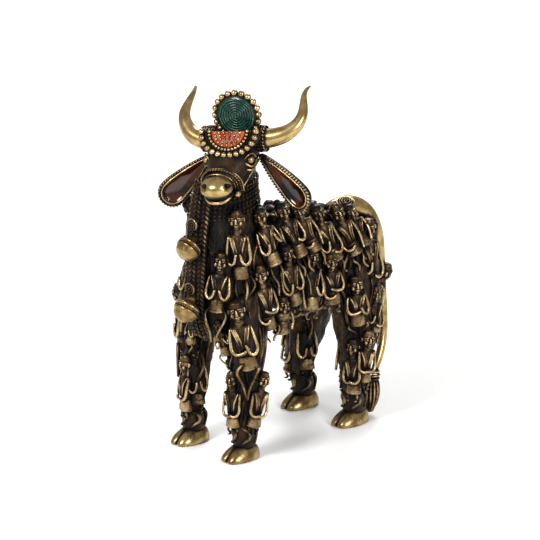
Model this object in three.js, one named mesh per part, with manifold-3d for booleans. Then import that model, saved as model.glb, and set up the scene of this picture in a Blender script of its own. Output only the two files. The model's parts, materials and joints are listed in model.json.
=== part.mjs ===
// A standing bull cast in brass by the lost-wax way, its body and legs built up from small wax-thread
// people. Millimetres, Z up. The bull faces -Y and its own left side is +X. It is one casting, so one mesh.
import * as THREE from 'three';
import * as BufferGeometryUtils from 'three/addons/utils/BufferGeometryUtils.js';
import Module from 'manifold-3d';

const wasm = await Module();
wasm.setup();

// Driving dimensions, measured from the ground point between the four hooves
const HOOF_SPREAD = 57;       // left to right, between hoof centres
const HOOF_REACH = 120;       // front to hind, between hoof centres
const HOOF_LENGTH = 36;
const HOOF_WIDTH = 24;
const HOOF_HEIGHT = 11.6;
const FETLOCK_HEIGHT = 30;
const TRUNK_HALF_WIDTH = 31;  // the dark wall behind the figures
const FIGURE_GIRTH = 0.96;    // every figure is this wide, and only its body is drawn out to its height
const FIGURE_STANDOFF = 2.6;  // a figure's middle in front of the wall
const ARM_RADIUS = 1.5;
const LEG_RADIUS = 1.9;
const HEAD_AT = new THREE.Vector3(5, -43, 250);
const HEAD_YAW = THREE.MathUtils.degToRad(28);
const HEAD_ROLL = THREE.MathUtils.degToRad(6);
const HORN_ROOT = 8.1;        // radius where a horn leaves its socket
const HORN_TIP = 1.1;
const EAR_HALF_WIDTH = 12;
const EAR_THICK = 6;
const EAR_FLOOR = 3.8;        // what is left of the ear behind its dish
const DISC_RADIUS = 17.5;     // to the middles of its beads
const DISC_BEADS = 20;
const BEAD_RADIUS = 2.8;
const DISC_DEPTH = 5.4;
const MOON_WIDTH = 48;
const MOON_HEIGHT = 20.5;
const MOON_DEPTH = 9.5;
const MOON_BEADS = 11;
const MOON_SLOPE = THREE.MathUtils.degToRad(62);

const BRASS = new THREE.MeshStandardMaterial({ color: 0x6b5530, roughness: 0.45, metalness: 0.85 });

const X = new THREE.Vector3(1, 0, 0);
const Y = new THREE.Vector3(0, 1, 0);
const Z = new THREE.Vector3(0, 0, 1);
const at = (x, y, z) => new THREE.Vector3(x, y, z);

// Joining: every shape becomes a closed solid, and the casting is their sum

function solid(geometry) {
  const bare = geometry.clone();
  bare.deleteAttribute('normal');
  bare.deleteAttribute('uv');
  const merged = BufferGeometryUtils.mergeVertices(bare, 1e-4);
  return new wasm.Manifold(new wasm.Mesh({
    numProp: 3,
    vertProperties: new Float32Array(merged.attributes.position.array),
    triVerts: new Uint32Array(merged.index.array),
  }));
}

function joined(geometries) {
  return geometries.map(solid).reduce((whole, piece) => whole.add(piece));
}

function geometryOf(manifold) {
  const mesh = manifold.getMesh();
  const corners = new Float32Array(mesh.vertProperties);
  const geometry = new THREE.BufferGeometry();
  geometry.setAttribute('position', new THREE.BufferAttribute(corners, mesh.numProp));
  geometry.setIndex(new THREE.BufferAttribute(new Uint32Array(mesh.triVerts), 1));
  return geometry;
}

// The casting has no sealed voids: of all the closed shells in the sum only the outermost one is kept
function outerShell(geometry) {
  const index = geometry.index.array;
  const place = geometry.attributes.position;
  const shellOf = Int32Array.from({ length: place.count }, (_, i) => i);
  const rootOf = (i) => {
    while (shellOf[i] !== i) {
      shellOf[i] = shellOf[shellOf[i]];
      i = shellOf[i];
    }
    return i;
  };
  for (let i = 0; i < index.length; i += 3) {
    shellOf[rootOf(index[i])] = rootOf(index[i + 1]);
    shellOf[rootOf(index[i + 1])] = rootOf(index[i + 2]);
  }
  const shells = new Map();
  for (let i = 0; i < index.length; i += 3) {
    const root = rootOf(index[i]);
    if (!shells.has(root)) shells.set(root, []);
    shells.get(root).push(index[i], index[i + 1], index[i + 2]);
  }
  const largest = [...shells.values()].reduce((a, b) => (a.length > b.length ? a : b));
  const kept = geometry.clone().setIndex(largest).toNonIndexed();
  return BufferGeometryUtils.mergeVertices(kept, 1e-6);
}

// A body along a line of stations { at, wide, deep }: a closed cylinder whose rings are laid on the
// stations. A ring lies across the line, or flat where its station is level. "sideways" is the direction
// of each ring's width, and "square" under 1 swells the ring towards a box.
function sweep(stations, sides, sideways = X, square = 1) {
  const last = stations.length - 1;
  const geometry = new THREE.CylinderGeometry(1, 1, last, sides, last);
  const place = geometry.attributes.position;
  const rings = stations.map((station, i) => {
    const ahead = stations[Math.min(i + 1, last)].at;
    const behind = stations[Math.max(i - 1, 0)].at;
    const along = station.level ? Z : ahead.clone().sub(behind).normalize();
    const right = sideways.clone().addScaledVector(along, -sideways.dot(along)).normalize();
    return { ...station, right, up: along.clone().cross(right) };
  });
  const swell = (value) => Math.sign(value) * Math.abs(value) ** square;
  for (let i = 0; i < place.count; i += 1) {
    const ring = rings[Math.round(last / 2 - place.getY(i))];
    const point = ring.at.clone()
      .addScaledVector(ring.right, ring.wide * swell(place.getX(i)))
      .addScaledVector(ring.up, (ring.deep ?? ring.wide) * swell(place.getZ(i)));
    place.setXYZ(i, point.x, point.y, point.z);
  }
  return geometry;
}

function thread(points, radius) {
  return sweep(points.map((point) => ({ at: point, wide: radius })), 3, Y);
}

function ball(centre, wide, deep, high, around, rings) {
  return new THREE.SphereGeometry(1, around, rings).rotateX(Math.PI / 2).scale(wide, deep, high)
    .translate(centre.x, centre.y, centre.z);
}

// The small people. A figure has its hips at the origin, stands along +Z and looks along -Y.
// Its "reach" is the height of its head above its hips.

// Crown to hem in one turning: cap, head, neck, shoulders, waist and the flared skirt
function figureBody(reach, capped, sides) {
  const crown = capped ? { high: 9, wide: 3.6 } : { high: 6.5, wide: 2.6 };
  return sweep([
    { at: at(0, 0.5, reach + crown.high), wide: crown.wide },
    { at: at(0, -0.4, reach + 1), wide: 5.9 },
    { at: at(0, 0, reach - 8.5), wide: 3.2 },
    { at: at(0, 0, reach - 13), wide: 9, deep: 4.2 },
    { at: at(0, 0, 5), wide: 5.6, deep: 4.8 },
    { at: at(0, 0, -5), wide: 8.6, deep: 6.6 },
  ], sides);
}

// Both arms are one thread: shoulder, elbow, folded hands, elbow, shoulder
function figureArms(reach) {
  const shoulder = reach - 13;
  const elbow = reach * 0.2;
  const hands = at(0, -6, reach * 0.35);
  const arm = (side) => [at(7 * side, -1, shoulder), at(11 * side, -3.5, elbow)];
  return thread([...arm(-1), hands, ...arm(1).reverse()], ARM_RADIUS);
}

function figureLeg(side, long) {
  return thread([at(3.4 * side, 0, -3), at(3 * side, 0, -3 - long)], LEG_RADIUS);
}

// Stands a figure on its place: hips and head give its height and lean, and "outward" the way it looks.
// The hidden side of the bull is plainer: its figures are four-sided and their arms are left to the relief.
function standing({ hips, head, outward, capped = true, legs = 0, arms = true, plain = false }) {
  const up = head.clone().sub(hips);
  const reach = up.length() / FIGURE_GIRTH;
  const parts = [figureBody(reach, capped, plain ? 4 : 5)];
  if (arms && !plain) parts.push(figureArms(reach));
  if (legs > 0) parts.push(figureLeg(-1, legs), figureLeg(1, legs));
  up.normalize();
  const back = outward.clone().negate().addScaledVector(up, outward.dot(up)).normalize();
  const right = back.clone().cross(up);
  const matrix = new THREE.Matrix4().makeBasis(right, back, up)
    .scale(at(FIGURE_GIRTH, FIGURE_GIRTH, FIGURE_GIRTH)).setPosition(hips);
  return parts.map((part) => part.applyMatrix4(matrix));
}

const mirrored = (point, side) => at(point.x * side, point.y, point.z);
const facing = (degrees, side = 1) => {
  const angle = THREE.MathUtils.degToRad(degrees);
  return at(Math.sin(angle) * side, -Math.cos(angle), 0);
};

// The trunk: a dark wall of upright ovals from the chest to the rump, with the neck rising from its front

const TRUNK = [
  { y: -77, low: 120, top: 174, half: 9 },
  { y: -64, low: 97, top: 184, half: 20 },
  { y: -38, low: 117, top: 187, half: 30 },
  { y: -8, low: 109, top: 185, half: TRUNK_HALF_WIDTH },
  { y: 24, low: 107, top: 178, half: TRUNK_HALF_WIDTH },
  { y: 54, low: 104, top: 172, half: TRUNK_HALF_WIDTH },
  { y: 80, low: 104, top: 167, half: 28 },
  { y: 94, low: 118, top: 155, half: 15 },
];
const TRUNK_SQUARENESS = 0.7;

function trunk() {
  const stations = TRUNK.map(({ y, low, top, half }) => {
    return { at: at(0, y, (low + top) / 2), wide: half, deep: (top - low) / 2 };
  });
  return sweep(stations, 8, X, TRUNK_SQUARENESS);
}

// Half the trunk's width at a place along it
function trunkHalf(y) {
  const next = Math.max(1, TRUNK.findIndex((station) => station.y > y));
  const [a, b] = [TRUNK[next - 1], TRUNK[next]];
  return THREE.MathUtils.mapLinear(y, a.y, b.y, a.half, b.half);
}

// The neck swells where the plaited bands lie round it under the jaw
function neck() {
  const stations = [
    { at: at(0, -44, 162), wide: 27, deep: 31 },
    { at: at(0, -47, 194), wide: 23.5, deep: 27.5 },
    { at: at(0.5, -47, 199), wide: 24.6, deep: 28.6 },
    { at: at(2.4, -46, 219), wide: 21.4, deep: 24.8 },
    { at: at(3, -45, 224), wide: 18.5, deep: 21.5 },
    { at: at(5, -42, 248), wide: 15, deep: 14.5 },
  ];
  return sweep(stations, 8);
}

// A broad plaited strap falls from the collar down the front of the chest
function chestStrap() {
  const line = [at(2, -66, 220), at(0, -74, 196), at(0, -78, 160), at(0, -78, 128)];
  const stations = line.map((point) => ({ at: point, wide: 10, deep: 4.5 }));
  return sweep([...stations, { at: at(0, -70, 100), wide: 7, deep: 4 }], 6);
}

// A bell stands out from the chest on its stem, its dome turned forwards and down. Its profile runs from
// the crown of the dome to the stem: how far out and how far along, in radii.
const BELL_PROFILE = [
  [0, -0.95], [0.62, -0.7], [0.9, -0.05], [1.04, 0], [1.04, 0.36], [0.5, 0.62], [0.45, 1.5], [0, 1.5],
];
const BELLS = [
  { centre: at(0, -89, 172), radius: 10, dip: 54 },
  { centre: at(0, -91, 122), radius: 10.6, dip: 41 },
];

function bell({ centre, radius, dip }) {
  const points = BELL_PROFILE.map(([out, along]) => new THREE.Vector2(out * radius, along * radius));
  return new THREE.LatheGeometry(points, 8).rotateX(THREE.MathUtils.degToRad(90 - dip))
    .translate(centre.x, centre.y, centre.z);
}

// Figures on the flanks: head and hips as [along, high] on the left side, where the photograph shows them

const FLANK_FIGURES = [
  { head: [-35.6, 194], hips: [-29.2, 159.5] },
  { head: [-13, 193.6], hips: [-2, 160.4] },
  { head: [2.6, 189], hips: [13, 161], arms: false },
  { head: [24.8, 182.5], hips: [36.5, 147.8] },
  { head: [47, 178], hips: [58.3, 148] },
  { head: [62, 174], hips: [68, 152], arms: false },
  { head: [77, 160], hips: [84, 116], legs: 16 },
  { head: [-41, 149], hips: [-34, 108], legs: 14 },
  { head: [-15, 160.7], hips: [-7, 122] },
  { head: [12.2, 151.6], hips: [11.7, 114] },
  { head: [32.3, 143], hips: [35.4, 113] },
  { head: [-19, 119], hips: [-20, 101], arms: false },
];
const SPINE_HEADS = 170;      // heads above this height lean in over the spine
const HEAD_DRAWN_IN = 7;
const FAR_SIDE_LOWER = 9;     // and stand lower on the right side, behind the spine

function flankFigures(side) {
  return FLANK_FIGURES.flatMap(({ head, hips, ...pose }, i) => {
    const spine = head[1] > SPINE_HEADS;
    const lower = spine && side < 0 ? FAR_SIDE_LOWER : 0;
    const drawnIn = spine ? HEAD_DRAWN_IN : 0;
    const place = ([along, high], inwards) => {
      return at((trunkHalf(along) + FIGURE_STANDOFF - inwards) * side, along, high - lower);
    };
    return standing({
      head: place(head, drawnIn),
      hips: place(hips, 0),
      outward: at(side, -0.25, 0),
      capped: i % 2 === 0,
      plain: side < 0,
      ...pose,
    });
  });
}

// Figures round the front of the chest and over the rump
const CORNER_FIGURES = [
  { head: at(26, -59, 193), hips: at(27, -56, 151), turn: 38, legs: 34 },
  { head: at(17, -68, 163), hips: at(16, -70, 128), turn: 20, legs: 20 },
  { head: at(14, 97, 152), hips: at(14, 97, 122), turn: 160, arms: false },
  { head: at(19.5, 108, 113), hips: at(19, 103, 82), turn: 150, arms: false },
];

function cornerFigures(side) {
  return CORNER_FIGURES.flatMap(({ head, hips, turn, ...pose }) => standing({
    head: mirrored(head, side),
    hips: mirrored(hips, side),
    outward: facing(turn, side),
    ...pose,
  }));
}

// A leg is a dark wall with one tall figure over two small ones, which stand side by side on the fetlock
const THIGH_DEPTH = 15;       // front to back, from the middle of the leg
const SHOULDER_DEPTH = 13;
const LEG_TURN = 46;          // the figures at the foot look out at this angle
const PAIR_SPLAY = 27;        // and apart by this much to either side
const TALL_FRONT = { head: at(31.4, -66.7, 125), hips: at(35.6, -58.5, 82), turn: LEG_TURN, legs: 18 };
const TALL_HIND = { head: at(37, 57, 119), hips: at(37, 59, 90), turn: 70 };

function leg(side, end) {
  const x = (HOOF_SPREAD / 2) * side;
  const y = (HOOF_REACH / 2) * end;
  const thigh = end > 0 ? THIGH_DEPTH : SHOULDER_DEPTH;
  const wall = sweep([
    { at: at(x * 0.84, y - end * 9, 134), wide: 10, deep: thigh },
    { at: at(x * 0.9, y - end * 7, 100), wide: 9, deep: thigh },
    { at: at(x, y + 4, 62), wide: 8, deep: 7 },
    { at: at(x, y + 3, 26), wide: 7, deep: 7 },
  ], 6);
  const { head, hips, turn, legs } = end > 0 ? TALL_HIND : TALL_FRONT;
  const shapes = [wall, ...standing({
    head: mirrored(head, side),
    hips: mirrored(hips, side),
    outward: facing(turn, side),
    legs,
  })];
  const angle = THREE.MathUtils.degToRad(LEG_TURN);
  const across = mirrored(at(Math.cos(angle), Math.sin(angle), 0), side);
  const foot = at(x, y, 0).addScaledVector(facing(LEG_TURN, side), 2.5);
  for (const place of [-1, 1]) {
    shapes.push(...standing({
      head: foot.clone().addScaledVector(across, 12.5 * place + 6).setZ(67),
      hips: foot.clone().addScaledVector(across, 7.6 * place + 3.5).setZ(33),
      outward: facing(LEG_TURN + PAIR_SPLAY * place, side),
      arms: false,
    }));
  }
  if (end > 0) {
    shapes.push(...standing({
      head: at(x, y + 10, 92),
      hips: at(x, y + 9, 52),
      outward: facing(160, side),
      plain: true,
    }));
  }
  return shapes;
}

// A fetlock over a cloven hoof: a low dome, longer than it is wide, split at the toe by a narrow wedge
function hoof(side, end) {
  const x = (HOOF_SPREAD / 2) * side;
  const y = (HOOF_REACH / 2) * end;
  const wide = HOOF_WIDTH / 2;
  const deep = HOOF_LENGTH / 2;
  const rings = [
    { at: at(x, y, 0), wide: wide - 0.6, deep: deep - 0.6 },
    { at: at(x, y, HOOF_HEIGHT * 0.3), wide, deep },
    { at: at(x, y + 3, HOOF_HEIGHT * 0.8), wide: wide * 0.85, deep: deep * 0.76 },
    { at: at(x, y + 4, HOOF_HEIGHT + 1), wide: 9.2, deep: 9.8 },
    { at: at(x, y + 2, FETLOCK_HEIGHT), wide: 8, deep: 9 },
  ];
  const dome = sweep(rings.map((ring) => ({ ...ring, level: true })), 8);
  const cleft = new THREE.CylinderGeometry(3, 3, FETLOCK_HEIGHT, 3).rotateX(Math.PI / 2).scale(0.5, 3, 1)
    .translate(x, y - deep, 0);
  return solid(dome).subtract(solid(cleft));
}

// The tail: a heavy smooth root over the rump, falling behind the left hind leg to a ribbed tassel
const TAIL = [
  { at: at(0, 60, 168), wide: 6 },
  { at: at(1, 74, 171), wide: 8.2 },
  { at: at(2, 88, 168.5), wide: 8.8 },
  { at: at(3.5, 100, 160), wide: 8 },
  { at: at(6, 107.5, 142), wide: 5.8 },
  { at: at(9, 109, 114), wide: 3.9 },
  { at: at(12, 108, 84), wide: 3.2 },
  { at: at(16, 104, 58), wide: 3 },
  { at: at(23, 96, 42), wide: 2.8 },
  { at: at(25, 89, 32), wide: 2.6 },
];

function tail() {
  const tassel = sweep([
    { at: at(25, 89, 34), wide: 4.2 },
    { at: at(25, 87.5, 26), wide: 5.8 },
    { at: at(25, 86.5, 15), wide: 5.4 },
    { at: at(25, 86, 4), wide: 2.4 },
  ], 6);
  const knot = ball(at(6.5, 76, 175.5), 7.4, 7.4, 3, 6, 4);
  return [sweep(TAIL, 6), tassel, knot];
}

// The bull's head, in its own frame: x to its left, -y to the muzzle, z up, with the poll at the origin

function skull() {
  return sweep([
    { at: at(0, 12, -4), wide: 13, deep: 12 },
    { at: at(0, 2, -4.5), wide: 21, deep: 17 },
    { at: at(0, -11, -8.5), wide: 20.4, deep: 16.4 },
    { at: at(-1, -25, -17), wide: 15.5, deep: 13 },
    { at: at(-1.5, -28, -18.5), wide: 17, deep: 13.8 },
    { at: at(-2, -33, -20.5), wide: 16, deep: 13.4 },
    { at: at(-2, -37, -22), wide: 12, deep: 10.6 },
  ], 8);
}

function muzzle() {
  return [ball(at(-3, -39, -21.5), 13.6, 12, 10.6, 8, 5), ball(at(-3, -37, -31.5), 11.5, 10.5, 6.5, 6, 4)];
}

// The two sides of the head are shaped by hand and differ in the ear's length and droop and the horn's line
const HEAD_SIDES = [
  {
    side: 1,
    length: 55,
    droop: 48,
    horn: [at(26, 3, 2.5), at(38.7, 5, 4.9), at(47.8, 9, 9.8), at(52.6, 14, 16.8), at(52.6, 20, 24.2),
      at(51.2, 26, 29.7), at(51.8, 31, 33.6), at(54.7, 36, 35.6)],
  },
  {
    side: -1,
    length: 51.5,
    droop: 51,
    horn: [at(-25, 3, 1.6), at(-34.5, 4.5, 4.8), at(-41.6, 9, 12), at(-44, 14, 19.4), at(-43, 20, 24.6),
      at(-41, 26, 30), at(-39.3, 31.5, 34), at(-39.8, 36, 37)],
  },
];

// A horn grows out of a plaited socket and thins to its tip
function horn({ side, horn: line }) {
  const socket = [{ at: at(14 * side, 2, 3), wide: 10.5 }, { at: at(24.4 * side, 3, 2.7), wide: 10.2 }];
  const stations = line.map((point, i) => {
    return { at: point, wide: THREE.MathUtils.lerp(HORN_ROOT, HORN_TIP, (i / (line.length - 1)) ** 1.15) };
  });
  return sweep([...socket, ...stations], 7, Y);
}

// An ear: a drooping drop-shaped dish with a twisted border
function ear({ side, length, droop }) {
  const broad = EAR_HALF_WIDTH;
  const outline = new THREE.Shape();
  outline.moveTo(0, 3);
  outline.bezierCurveTo(-3, 3, -broad - 2, -length * 0.55, -broad, -length * 0.8);
  outline.bezierCurveTo(-broad, -length - 3, broad, -length - 3, broad, -length * 0.8);
  outline.bezierCurveTo(broad + 2, -length * 0.55, 3, 3, 0, 3);
  const middle = new THREE.Vector2(0, -length * 0.62);
  const shrink = new THREE.Vector2(0.72, 0.84);
  const hollow = new THREE.Shape(outline.getPoints(3).map((point) => {
    return point.clone().sub(middle).multiply(shrink).add(middle);
  }));
  const flat = { bevelEnabled: false, curveSegments: 3 };
  const plate = new THREE.ExtrudeGeometry(outline, { depth: EAR_THICK, ...flat });
  const dish = new THREE.ExtrudeGeometry(hollow, { depth: EAR_THICK, ...flat }).translate(0, 0, EAR_FLOOR);
  const place = new THREE.Matrix4().makeTranslation(22 * side, 0, -11)
    .multiply(new THREE.Matrix4().makeRotationZ(-0.35 * side))
    .multiply(new THREE.Matrix4().makeRotationY(-THREE.MathUtils.degToRad(droop) * side))
    .multiply(new THREE.Matrix4().makeRotationX(Math.PI / 2))
    .multiply(new THREE.Matrix4().makeTranslation(0, 0, -EAR_THICK / 2));
  return solid(plate.applyMatrix4(place)).subtract(solid(dish.applyMatrix4(place)));
}

// An arc edged with beads, each bead a tooth of the outline
function beadedArc(beads, from, to, wide, high) {
  const points = [];
  for (let i = 0; i < beads * 2; i += 1) {
    const angle = THREE.MathUtils.lerp(from, to, (i + 0.5) / (beads * 2));
    const reach = i % 2 === 0 ? 1 : 0.88;
    points.push(new THREE.Vector2(wide * reach * Math.cos(angle), high * reach * Math.sin(angle)));
  }
  return points;
}

// The crest: an upright disc with a beaded rim, and below it a half-moon plate with a row of beads
function crest() {
  const rim = beadedArc(DISC_BEADS, 0, Math.PI * 2, DISC_RADIUS + BEAD_RADIUS, DISC_RADIUS + BEAD_RADIUS);
  const disc = new THREE.ExtrudeGeometry(new THREE.Shape(rim), { depth: DISC_DEPTH, bevelEnabled: false })
    .rotateX(Math.PI / 2).translate(4.6, 3, 23.5);
  const moon = beadedArc(MOON_BEADS, Math.PI, Math.PI * 2, MOON_WIDTH / 2, MOON_HEIGHT);
  const plate = new THREE.ExtrudeGeometry(new THREE.Shape(moon), { depth: MOON_DEPTH, bevelEnabled: false })
    .rotateX(MOON_SLOPE).translate(2, -9.5, 10.5);
  return [disc, plate];
}

function bullHead() {
  const face = joined([skull(), ...muzzle(), ...crest(), ...HEAD_SIDES.map(horn)]);
  const whole = HEAD_SIDES.map(ear).reduce((head, piece) => head.add(piece), face);
  const pose = new THREE.Matrix4().makeRotationZ(HEAD_YAW)
    .multiply(new THREE.Matrix4().makeRotationY(-HEAD_ROLL));
  return geometryOf(whole).applyMatrix4(pose).translate(HEAD_AT.x, HEAD_AT.y, HEAD_AT.z);
}

function casting() {
  const shapes = [trunk(), neck(), chestStrap(), ...BELLS.map(bell), ...tail()];
  for (const side of [-1, 1]) {
    shapes.push(...flankFigures(side), ...cornerFigures(side), ...leg(side, -1), ...leg(side, 1));
  }
  let whole = joined(shapes).add(solid(bullHead()));
  for (const side of [-1, 1]) {
    whole = whole.add(hoof(side, -1)).add(hoof(side, 1));
  }
  return whole;
}

// The part stands with the middle of its outline over the origin
const nandi = new THREE.Mesh(outerShell(geometryOf(casting())), BRASS);
nandi.name = 'nandi';
nandi.geometry.computeBoundingBox();
const middle = nandi.geometry.boundingBox.getCenter(new THREE.Vector3());
nandi.geometry.translate(-middle.x, -middle.y, 0);

const figurine = new THREE.Group();
figurine.add(nandi);

export default figurine;
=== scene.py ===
import json
from math import cos, pi, radians, sin, sqrt

import bmesh
import bpy
import numpy as np
from mathutils import Euler, Matrix, Vector, noise
from mathutils.bvhtree import BVHTree
from mathutils.geometry import interpolate_bezier


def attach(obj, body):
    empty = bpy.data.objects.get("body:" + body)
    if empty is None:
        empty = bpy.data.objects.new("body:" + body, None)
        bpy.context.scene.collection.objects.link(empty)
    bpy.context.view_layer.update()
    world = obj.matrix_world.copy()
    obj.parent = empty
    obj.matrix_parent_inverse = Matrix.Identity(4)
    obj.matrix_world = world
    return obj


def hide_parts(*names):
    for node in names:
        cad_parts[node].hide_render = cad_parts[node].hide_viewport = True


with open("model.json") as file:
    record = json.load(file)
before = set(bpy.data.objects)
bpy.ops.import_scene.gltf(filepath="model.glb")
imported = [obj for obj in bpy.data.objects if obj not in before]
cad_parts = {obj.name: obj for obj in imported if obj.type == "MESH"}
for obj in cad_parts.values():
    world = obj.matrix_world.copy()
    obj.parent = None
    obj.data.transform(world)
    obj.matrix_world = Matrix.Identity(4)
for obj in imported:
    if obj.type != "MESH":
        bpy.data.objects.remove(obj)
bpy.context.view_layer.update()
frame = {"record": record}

# The dark wall of the body
# The bull is one lost-wax brass casting. Its trunk and neck are a plain dark wall, modelled first, and
# everything else is laid on it in wax. Sizes are real ones in millimetres, measured from the ground
# between the four hooves, with +X to the bull's left and -Y to its front.
MM = 0.001
HALF_WIDTH = 31
TRUNK = [  # along, belly, spine, half width
    (-76, 112, 174, 10), (-69, 91, 182, 18), (-60, 89, 186, 23), (-47, 103, 187, 28), (-34, 107, 187, 30),
    (-8, 106, 185, HALF_WIDTH), (24, 103, 178, HALF_WIDTH), (54, 98, 172, HALF_WIDTH),
    (80, 98, 167, 28), (92, 104, 160, 21), (98, 112, 152, 13),
]
NECK = [  # centre, half width, half depth
    ((0, -44, 160), 27, 31), ((0, -46, 180), 25.5, 29.5), ((0, -47, 196), 23, 27),
    ((1, -47, 212), 20.5, 24.5), ((3, -45, 226), 18.5, 21), ((5, -43, 240), 16.5, 17),
    ((5, -42, 250), 14, 14),
]
FOLD_SLOPE = 2.2
FOLD_LENGTH = 2.2
FOLD_SINK = 0.7
X, Y, Z = Vector((1, 0, 0)), Vector((0, 1, 0)), Vector((0, 0, 1))
casting = []


def mm(x, y, z):
    return Vector((x, y, z)) * MM


def placed(place, x=0, y=0, z=0):
    """The matrix that turns a form about X, Y and Z, in degrees, and moves it to a place in millimetres"""
    turn = Euler((radians(x), radians(y), radians(z)))
    return Matrix.Translation(mm(*place)) @ turn.to_matrix().to_4x4()


class Wire:
    """A node's output that takes part in sums"""

    def __init__(self, look, socket):
        self.look, self.socket = look, socket

    def sum(self, operation, first, second):
        made = self.look.node("ShaderNodeMath", {"operation": operation})
        self.look.join(made.inputs[0], first)
        self.look.join(made.inputs[1], second)
        return Wire(self.look, made.outputs[0])

    def __add__(self, other):
        return self.sum("ADD", self, other)

    def __sub__(self, other):
        return self.sum("SUBTRACT", self, other)

    def __rsub__(self, other):
        return self.sum("SUBTRACT", other, self)

    def __abs__(self):
        return self.sum("ABSOLUTE", self, 0)

    def __mul__(self, other):
        return self.sum("MULTIPLY", self, other)

    __radd__ = __add__
    __rmul__ = __mul__


class Look:
    """A material, with the nodes that make it written as plain expressions"""

    def __init__(self, name):
        self.material = bpy.data.materials.new(name)
        self.material.use_nodes = True
        self.tree = self.material.node_tree
        self.shader = self.tree.nodes["Principled BSDF"]

    def node(self, kind, settings=None, **sockets):
        made = self.tree.nodes.new(kind)
        for key, value in (settings or {}).items():
            setattr(made, key, value)
        for key, value in sockets.items():
            self.join(made.inputs[key.replace("_", " ")], value)
        return made

    def join(self, socket, value):
        if isinstance(value, Wire):
            self.tree.links.new(value.socket, socket)
        else:
            socket.default_value = value

    def noise(self, scale, detail, stretch=(1, 1, 1)):
        place = Wire(self, self.node("ShaderNodeTexCoord").outputs["Object"])
        pressed = self.node("ShaderNodeVectorMath", {"operation": "MULTIPLY"})
        self.join(pressed.inputs[0], place)
        self.join(pressed.inputs[1], stretch)
        place = Wire(self, pressed.outputs[0])
        made = self.node("ShaderNodeTexNoise", Vector=place, Scale=scale, Detail=detail)
        return Wire(self, made.outputs["Fac"])

    def attribute(self, name):
        return Wire(self, self.node("ShaderNodeAttribute", {"attribute_name": name}).outputs["Fac"])

    def step(self, value, low, high):
        settings = {"interpolation_type": "SMOOTHSTEP"}
        made = self.node("ShaderNodeMapRange", settings, Value=value, From_Min=low, From_Max=high)
        return Wire(self, made.outputs["Result"])

    def mix(self, factor, first, second):
        made = self.node("ShaderNodeMix", {"data_type": "RGBA"})
        colours = [socket for socket in made.inputs if socket.type == "RGBA"]
        self.join(made.inputs["Factor"], factor)
        self.join(colours[0], first)
        self.join(colours[1], second)
        return Wire(self, next(socket for socket in made.outputs if socket.type == "RGBA"))

    def bump(self, height, strength, distance):
        made = self.node("ShaderNodeBump", Height=height, Strength=strength, Distance=distance)
        self.join(self.shader.inputs["Normal"], Wire(self, made.outputs["Normal"]))

    def finish(self, **sockets):
        for key, value in sockets.items():
            self.join(self.shader.inputs[key.replace("_", " ")], value)
        return self.material


NEAR_BLACK = (0.0045, 0.0038, 0.0034, 1)
THIN_BROWN = (0.052, 0.028, 0.014, 1)


def brass_look(name, pale, deep, rough, uneven, strands=False):
    """Near-black patina and painted shade in the hollows, brown where it thins, and rubbed brass on the high
    places.
    A wall also has strands, the fine winding threads that fill the ground between the forms."""
    look = Look(name)
    # Per point: rubbed wear, the black patina of the hollows, and painted shade in the same hollows
    wear_and_shade = look.attribute("wear_and_shade")
    cloud = look.noise(70, 5) - 0.5
    grain = look.noise(700, 3) - 0.5
    relief = grain + cloud
    if strands:
        winding = look.noise(190, 2, (1, 1, 0.35)) - 0.5
        thread = 1 - look.step(abs(winding), 0.0, 0.07)
        wear_and_shade = wear_and_shade + thread * 0.16
        relief = relief + thread * 4
    bright = look.step(wear_and_shade + (cloud * 0.6 + grain * 0.5) * uneven, 0.34, 0.84)
    thin = look.step(wear_and_shade + cloud * uneven, 0.06, 0.5)
    dark = look.mix(thin, NEAR_BLACK, THIN_BROWN)
    gold = look.mix(look.step(look.noise(110, 3), 0.35, 0.65), deep, pale)
    look.bump(relief, 0.3 * uneven, 0.0006)
    look.shader.inputs["Specular IOR Level"].default_value = 0.12
    return look.finish(Base_Color=look.mix(bright, dark, gold), Metallic=thin * 0.9,
                       Roughness=rough + 0.10 - bright * 0.10 + (grain + cloud) * 0.3 * uneven)


ground = brass_look("ground", (0.20, 0.125, 0.055, 1), (0.09, 0.050, 0.022, 1), 0.30, 1.0, strands=True)
umber = brass_look("brown brass", (0.20, 0.105, 0.045, 1), (0.085, 0.038, 0.016, 1), 0.28, 1.0)
patina = brass_look("patinated brass", (0.60, 0.45, 0.235, 1), (0.29, 0.180, 0.080, 1), 0.27, 1.0)
worn = brass_look("worn brass", (0.42, 0.300, 0.128, 1), (0.20, 0.120, 0.045, 1), 0.27, 0.36)
polished = brass_look("polished brass", (0.52, 0.380, 0.165, 1), (0.32, 0.205, 0.074, 1), 0.25, 0.12)


def alone(piece):
    """Leaves one object selected and active"""
    bpy.ops.object.select_all(action="DESELECT")
    piece.select_set(True)
    bpy.context.view_layer.objects.active = piece
    return piece


def rubbed(piece, rub, finish=patina):
    """Says how far a form is rubbed bright, from 0 to 1, and gives it its finish"""
    layer = piece.data.attributes.new("rub", "FLOAT", "POINT")
    layer.data.foreach_set("value", [rub] * len(piece.data.vertices))
    piece.data.materials.clear()
    piece.data.materials.append(finish)
    return piece


def cast(piece, rub, finish=patina):
    """Lays a form on the casting"""
    casting.append(rubbed(piece, rub, finish))


def closed_and_smooth(piece, subdivisions=0):
    """Turns every face outwards, softens the form and shades it smooth"""
    alone(piece)
    bpy.ops.object.mode_set(mode="EDIT")
    bpy.ops.mesh.select_all(action="SELECT")
    bpy.ops.mesh.remove_doubles(threshold=0.002 * MM)
    bpy.ops.mesh.normals_make_consistent(inside=False)
    bpy.ops.object.mode_set(mode="OBJECT")
    if subdivisions:
        softer = piece.modifiers.new("softer", "SUBSURF")
        softer.levels = subdivisions
        bpy.ops.object.modifier_apply(modifier=softer.name)
    bpy.ops.object.shade_smooth()
    return piece


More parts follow.
